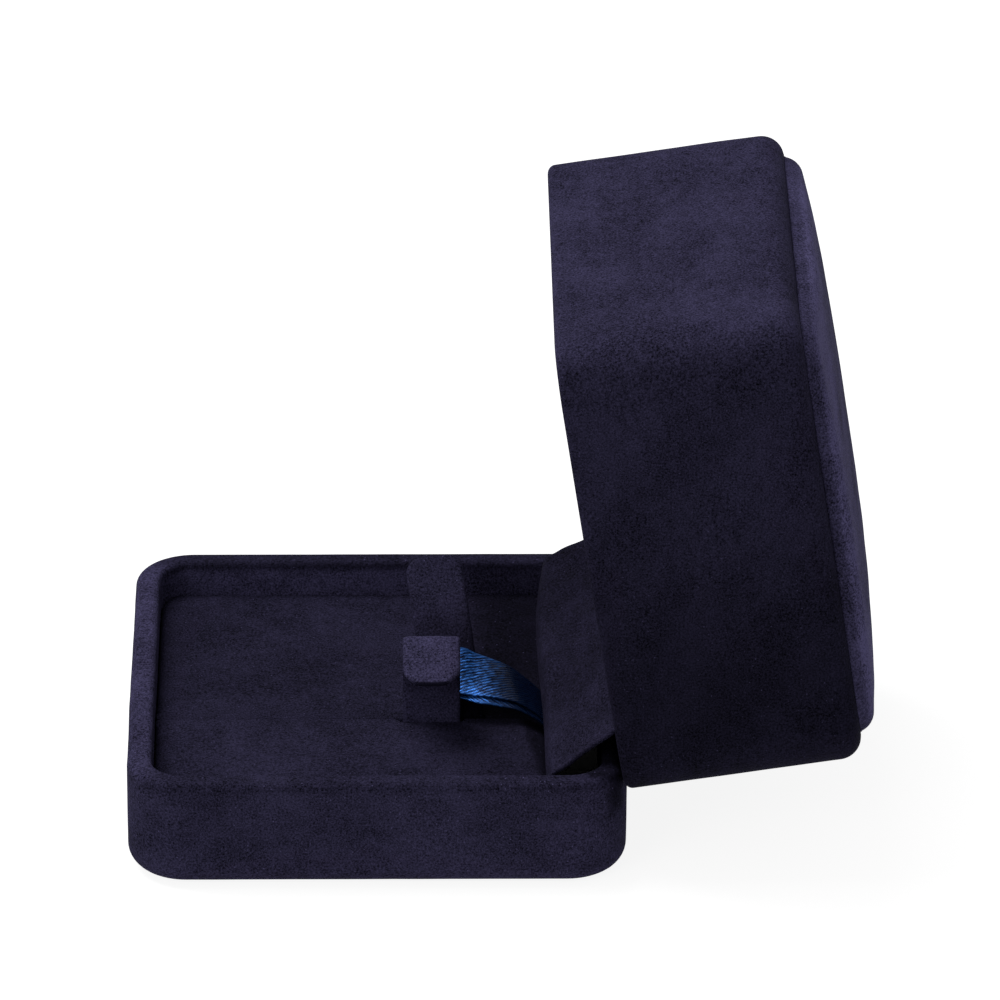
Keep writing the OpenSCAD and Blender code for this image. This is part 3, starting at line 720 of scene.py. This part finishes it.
def raised_lid_pad():
    """The raised pad on the lid: crowned, with soft rounded edges standing in a groove. Its
    nap value paints light over the whole pad, strongest on the shoulder between groove and crown."""
    low, high = shut_box("lid_panel_cover")
    half_a, half_b = (high[0] - low[0]) / 2 + 0.3, (high[1] - low[1]) / 2 + 0.1
    top, under = padded_form(half_a, half_b, 8.0, high[2] - low[2] - 1.35, 3.2, 1.5, 0.14,
                             corner_drop=1.6)
    points, faces = closed_pair(top, under)
    points += [(low[0] + high[0]) / 2, (low[1] + high[1]) / 2, low[2]]
    above_groove = smoothstep(low[2] + 1.5, high[2] - 1.9, points[:, 2])
    on_crown = smoothstep(high[2] - 1.3, high[2] - 0.4, points[:, 2])
    # painted light, strongest on the shoulder between groove and crown
    nap = 1.5 + 1.9 * above_groove * (1 - 0.7 * on_crown)
    piece = piece_from("raised_lid_pad", swing(points, OPEN_ANGLE), faces,
                       FINISH["suede_outer"], nap=nap)
    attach(piece, "lid")
    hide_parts("lid_panel_cover", "lid_panel_foam")


def inner_lid_pad():
    """The thin pad that lines the lid's ceiling, facing the tray."""
    low, high = shut_box("lid_pad_cover")
    half_a, half_b = (high[0] - low[0]) / 2, (high[1] - low[1]) / 2
    top, under = padded_form(half_a, half_b, 2.5, high[2] - low[2] - 0.15, 1.2, 0.4, 0.08)
    points, faces = closed_pair(top, under)
    points = points * [1, 1, -1] + [(low[0] + high[0]) / 2, 0, high[2]]
    points[:, :2] = in_tray(points[:, :2])
    piece = piece_from("inner_lid_pad", swing(points, OPEN_ANGLE), faces,
                       FINISH["suede_insert"])
    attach(piece, "lid")
    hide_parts("lid_pad_cover", "lid_pad_foam")


def covered_hinge_panel():
    """The suede-covered card that hides the lid's hinge leaf."""
    low, high = shut_box("lid_hinge_panel")
    half_a, half_b = (high[2] - low[2]) / 2, (high[1] - low[1]) / 2
    top, under = padded_form(half_a, half_b, 1.2, high[0] - low[0], 0.7, 0.0, 0.05)
    points, faces = closed_pair(top, under)
    x = high[0] - points[:, 2]
    z = (low[2] + high[2]) / 2 + points[:, 0]
    points = np.stack([x, points[:, 1], z], -1)
    piece = piece_from("covered_hinge_panel", swing(points, OPEN_ANGLE), faces,
                       FINISH["suede_insert"])
    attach(piece, "lid")
    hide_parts("lid_hinge_panel")


raised_lid_pad()
inner_lid_pad()
covered_hinge_panel()


# ---------------------------------------------------------------- clip tongues

BEND_Z = NEAR_HIGH[2] + 0.35  # height of the line the tongues flex about
ROOT_DEPTH = 1.1  # how far each strip goes on below that line


def tongue(name, middle_line, across, tip_r, nap, body, nodes):
    """A covered strip: its middle line carries a flat section that is full to near each
    edge, and its width shrinks in a round of tip_r towards the blunt tip. It thins below the
    bend line, so that it can flex beside its neighbour. middle_line is the points of the
    line, across the direction of its width at each, nap its painted light and shade at each."""
    step = np.linalg.norm(np.diff(middle_line, axis=0), axis=1)
    s = np.concatenate([[0], np.cumsum(step)])
    left = s[-1] - s
    tip = np.clip(1 - left / tip_r, 0, 1)
    half = TONGUE_W / 2 - tip_r * (1 - np.sqrt(np.maximum(1 - tip**2, 0)))
    v = np.sin(np.linspace(-math.pi / 2, math.pi / 2, 29))
    middle = middle_line[:, None] + across[:, None] * (half[:, None] * v)[..., None]
    thin_edge = np.maximum(1 - np.abs(v)**9, 0.06)**0.5
    thin_tip = np.sqrt(1 - np.clip(1 - left / 0.3, 0, 0.8)**2)
    thin_root = 1 - 0.42 * np.clip(BEND_Z - middle_line[:, 2], 0, ROOT_DEPTH)
    top, under = thick_sheet(middle, TONGUE_T * thin_edge[None]
                             * (thin_tip * thin_root)[:, None])
    points, faces = closed_pair(top, under)
    points = points + unevenness(points, 5)[:, None] * [0, 0.06, 0.06]
    # darker side edges, and painted shade on the tip's end face
    edge = np.maximum(0.3 * np.abs(v)[None]**14, smoothstep(0.45, 0.15, left)[:, None])
    nap = np.broadcast_to(nap[:, None], middle.shape[:2])
    piece = piece_from(name, points, faces, FINISH["suede_tongue"],
                       edge=np.tile(edge.ravel(), 2), nap=np.tile(nap.ravel(), 2))
    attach(piece, body)
    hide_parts(*nodes)


def front_tongue():
    """Upright riser, a tight fold over the top, and an end that hangs forward."""
    top_z = node_box("front_tongue_cover")[1][2] - TONGUE_T / 2
    fold, end = math.radians(26), 10.0
    fold_r = 0.75
    up = np.linspace(BEND_Z - ROOT_DEPTH, top_z - fold_r, 40)
    riser = np.stack([np.full_like(up, FRONT_Y), up], -1)
    a = np.linspace(0, math.pi / 2 + fold, 15)[1:]
    bend = np.stack([FRONT_Y - fold_r + fold_r * np.cos(a),
                     top_z - fold_r + fold_r * np.sin(a)], -1)
    t = np.linspace(0, end - fold_r, 46)[1:, None]
    way = np.array([[-math.cos(fold), -math.sin(fold)]])
    hang = bend[-1] + way * t + np.array([[0, -0.5]]) * (t / end)**2
    line = np.concatenate([riser, bend, hang])
    line = np.stack([np.full(len(line), CLIP_X), line[:, 0], line[:, 1]], -1)
    across = np.tile([1.0, 0.0, 0.0], (len(line), 1))
    ring = np.arange(len(line))
    # painted light: the riser lightest at its foot, lighter again over the fold and along the hanging end
    nap = (2.1 - 1.1 * smoothstep(8, 32, ring) + 0.6 * smoothstep(36, 46, ring)
           + 0.2 * smoothstep(48, 60, ring))
    tongue("front_tongue_strip", line, across, 3.6, nap, "front_tongue",
           ("front_tongue_cover", "front_tongue_core"))


def back_tongue():
    """Straight blade leaning back over the far cushion, turned a little in its own plane and
    curling back slightly towards its tip."""
    lean, skew, length = math.radians(48), math.radians(7.5), 31.4
    t = np.linspace(0, length, 84)
    curl = 0.9 * smoothstep(12, length, t) * np.clip(t / length, 0, 1)
    along = np.array([0, math.sin(lean), math.cos(lean)])
    back = np.array([0, math.cos(lean), -math.sin(lean)])
    side = np.array([1.0, 0, 0])
    turn = smoothstep(0, 3, t)[:, None]
    way = along * math.cos(skew) - side * math.sin(skew)
    line = np.array([BACK_X, BACK_Y, BEND_Z]) + way * t[:, None] + back * curl[:, None]
    across = side * (1 - turn) + (side * math.cos(skew) + along * math.sin(skew)) * turn
    drop = np.linspace(ROOT_DEPTH, 0.2, 5)[:, None]
    root = np.array([BACK_X, BACK_Y, BEND_Z]) - [[0, 0, 1]] * drop
    line = np.concatenate([root, line])
    across = np.concatenate([np.tile(side, (len(root), 1)), across])
    # painted shade: darkest at the root behind the front tongue, lighter towards the tip
    nap = 0.12 + 0.83 * smoothstep(15, 75, np.arange(len(line)))
    tongue("back_tongue_strip", line, across, 3.0, nap, "back_tongue",
           ("back_tongue_cover", "back_tongue_core"))


front_tongue()
back_tongue()


# ---------------------------------------------------------------- ribbon

RIBBON_W = 10.0
RIBBON_T = 0.22
RIBBON_DROP = 0.95  # from the upper band down to the lower one


def ribbon():
    """One length of satin doubled back on itself: the upper band runs from beside the flap to
    behind the clip, turns round there and comes back just below and nearer the front. Each
    band is its near edge plus the width along a direction that tilts up towards the clip. It
    carries painted shade where it goes down behind the flap."""
    x = [6.2, 9, 15.2, 18.0, 20.7, 24.4, 26.6, 28.8, 30.6]
    near_y = [-8.35, -8.35, -8.4, -8.8, -9.1, -9.6, -9.95, -10.3, -10.5]
    near_z = [19.9, 19.9, 19.85, 19.75, 19.6, 19.15, 18.4, 17.1, 15.55]
    tilt = [30, 30, 30.4, 22, 16.6, 9, 4, 0.5, -1.5]
    knots = np.arange(len(x), dtype=float)
    t = np.linspace(0, knots[-1], 150)
    upper = curve_through(knots, np.stack([x, near_y, near_z, tilt], -1), t)
    away = smoothstep(15.4, 19.5, upper[:, 0])
    lower = upper + np.stack([np.zeros_like(t), -1.15 * away - 0.04,
                              -RIBBON_DROP * (1 - 0.55 * smoothstep(24, 31, upper[:, 0])),
                              np.zeros_like(t)], -1)
    turn = np.linspace(0, math.pi, 14)[1:-1, None]
    middle, reach = (upper[0] + lower[0]) / 2, (upper[0] - lower[0]) / 2
    loop = middle + reach * np.cos(turn) + np.array([[-0.5, 0, 0, 0]]) * np.sin(turn)
    line = np.concatenate([upper[::-1], loop, lower])
    v = np.linspace(0, 1, 33)
    angle = np.radians(line[:, 3])
    across = np.stack([np.zeros_like(angle), np.cos(angle), np.sin(angle)], -1)
    cup = 0.25 * (1 - (2 * v - 1)**2)
    middle = (line[:, None, :3] + across[:, None] * (v * RIBBON_W)[None, :, None]
              + cup[None, :, None] * [0, 0, 1])
    ripple = np.sin(line[:, 0] * 1.15)[:, None] * 0.08 * (v - 0.5)[None]
    middle[..., 2] += ripple
    bead = 1 + 0.8 * smoothstep(0.94, 0.98, np.abs(2 * v - 1))
    top, under = thick_sheet(middle, RIBBON_T * bead[None])
    points, faces = closed_pair(top, under)
    s = np.concatenate([[0], np.cumsum(np.linalg.norm(np.diff(line[:, :3], axis=0), axis=1))])
    uv = np.stack(np.broadcast_arrays(2 * v[None] - 1, s[:, None]), -1).reshape(-1, 2)
    # painted shade towards the flap
    flap_shade_tone = 1.0 - 0.95 * smoothstep(17, 25, line[:, 0])
    flap_shade_tone = np.broadcast_to(flap_shade_tone[:, None], middle.shape[:2]).ravel()
    piece = piece_from("satin_band", points, faces, FINISH["satin"],
                       uv=np.tile(uv, (2, 1)), nap=np.tile(flap_shade_tone, 2))
    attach(piece, "base")
    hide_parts("satin_ribbon")


ribbon()


# ---------------------------------------------------------------- hinge flap

FLAP_HALF = 37.0
FLAP_T = 0.75


def flap():
    """Suede strip from the tray's floor over the hinge pocket into the lid. Across the box
    its section is a curve through a few stations, whose crest rises and whose slope swells
    towards the far side, with soft creases that run aslant. It is darker towards the
    far side and paler along the frayed edges."""
    low, high = node_box("hinge_flap")
    y = np.linspace(-FLAP_HALF, FLAP_HALF, 150)
    y_marks = [-37, -24, -13.5, -3.4, 7.3, 16, 23, 30, 37]
    crest_x = curve_through(y_marks, [31.15, 31.0, 30.95, 30.6, 30.15, 29.95, 30.0, 30.5,
                                      31.3], y)
    crest_z = curve_through(y_marks, [18.9, 19.0, 19.2, 19.8, 20.4, 20.9, 21.6, 22.9,
                                      24.0], y)
    far = smoothstep(5, 37, y)
    join_x, join_z = 44.6, 28.9
    deep_x, deep_z = high[0] - 0.5, high[2] - 0.45
    stations = np.stack([
        np.stack([np.full_like(y, low[0] + 0.4), np.full_like(y, low[2] + 0.6)], -1),
        np.stack([(crest_x + low[0] + 0.4) / 2, (crest_z + low[2]) / 2 + 1], -1),
        np.stack([crest_x + 0.15, crest_z - 1.6], -1),
        np.stack([crest_x + 0.75, crest_z + 0.1], -1),
        np.stack([crest_x + 2.4, crest_z + 1.3 - 0.5 * far], -1),
        np.stack([37.0 + 0 * y, 23.25 + 3.3 * far], -1),
        np.stack([41.5 + 0 * y, 26.7 + 2.1 * far], -1),
        np.stack([np.full_like(y, join_x), join_z + 1.3 * far], -1),
        np.stack([np.full_like(y, (join_x + deep_x) / 2), join_z + 0.7 + 0 * y], -1),
        np.stack([np.full_like(y, deep_x), np.full_like(y, deep_z)], -1)])
    knots = np.array([0, 7.6, 13.3, 15, 16.9, 22.9, 28.5, 32.2, 36.2, 40.4])
    t = np.linspace(0, knots[-1], 130)
    flat_stations = stations.reshape(len(knots), -1)
    line = curve_through(knots, flat_stations, t).reshape(len(t), len(y), 2)
    middle = np.stack([line[..., 0], np.broadcast_to(y, line.shape[:2]), line[..., 1]], -1)
    free = smoothstep(13, 19, t) * (1 - smoothstep(29, 33, t))
    aslant = middle @ np.array([0.055, 0.045, 0.02])
    creases = (0.28 * np.sin(aslant * 2 * math.pi + 0.6)
               + 0.16 * np.sin(aslant * 4.4 * math.pi + 1.9)
               + 0.22 * unevenness(middle, 16) + 0.08 * unevenness(middle, 6))
    steady = smoothstep(-FLAP_HALF, -FLAP_HALF + 12, y) * 0.8 + 0.2
    middle[..., 2] += free[:, None] * creases * steady
    top, under = thick_sheet(middle, FLAP_T)
    points, faces = closed_pair(top, under)
    frayed = smoothstep(FLAP_HALF - 0.7, FLAP_HALF, np.abs(y))[None]
    nap = (1.15 - 0.4 * smoothstep(-20, 25, y)[None] + 0.1 * unevenness(middle, 30)
           + 0.35 * frayed)
    piece = piece_from("suede_flap_strip", points, faces, FINISH["suede_flap"],
                       nap=np.tile(nap.ravel(), 2))
    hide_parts("hinge_flap")
    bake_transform(piece)


flap()


# ---------------------------------------------------------------- floor and light

def floor():
    """Wide pale floor with the faintest mottling."""
    n = Nodes("pale_floor")
    place = n.add("TexCoord").outputs["Object"]
    shade = n.blend(n.noise(place, 6, 2), (0.17, 0.17, 0.17, 1), (0.19, 0.19, 0.19, 1))
    material = n.finish(shade, 0.9, specular_ior_level=0.0,
                        emission_color=(1, 1, 1, 1), emission_strength=0.88)
    mesh = bpy.data.meshes.new("floor")
    reach = 6.0
    mesh.from_pydata([(-reach, -reach, -2e-5), (reach, -reach, -2e-5), (reach, reach, -2e-5),
                      (-reach, reach, -2e-5)], [], [(0, 1, 2, 3)])
    mesh.materials.append(material)
    plane = bpy.data.objects.new("floor", mesh)
    bpy.context.scene.collection.objects.link(plane)


def soft_light(name, place, aim, size, watts):
    """Square soft box at place, facing aim."""
    light = bpy.data.lights.new(name, "AREA")
    light.shape, light.size, light.energy = "SQUARE", size, watts
    lamp = bpy.data.objects.new(name, light)
    bpy.context.scene.collection.objects.link(lamp)
    lamp.location = place
    way = np.array(aim) - np.array(place)
    lamp.rotation_mode = "QUATERNION"
    lamp.rotation_quaternion = Vector(way).to_track_quat("-Z", "Y")


def studio():
    """White surroundings, a large soft box overhead and a weaker one from the near left."""
    scene = bpy.context.scene
    scene.view_settings.view_transform = "Standard"
    world = bpy.data.worlds.new("studio")
    world.use_nodes = True
    world.node_tree.nodes["Background"].inputs[0].default_value = (1, 1, 1, 1)
    world.node_tree.nodes["Background"].inputs[1].default_value = 0.55
    scene.world = world
    floor()
    soft_light("overhead_box", (-0.32, 0.22, 0.85), (0.02, 0, 0.03), 0.6, 12)
    soft_light("near_left_box", (-0.6, -0.8, 0.5), (0.02, 0, 0.04), 0.5, 2.5)


studio()
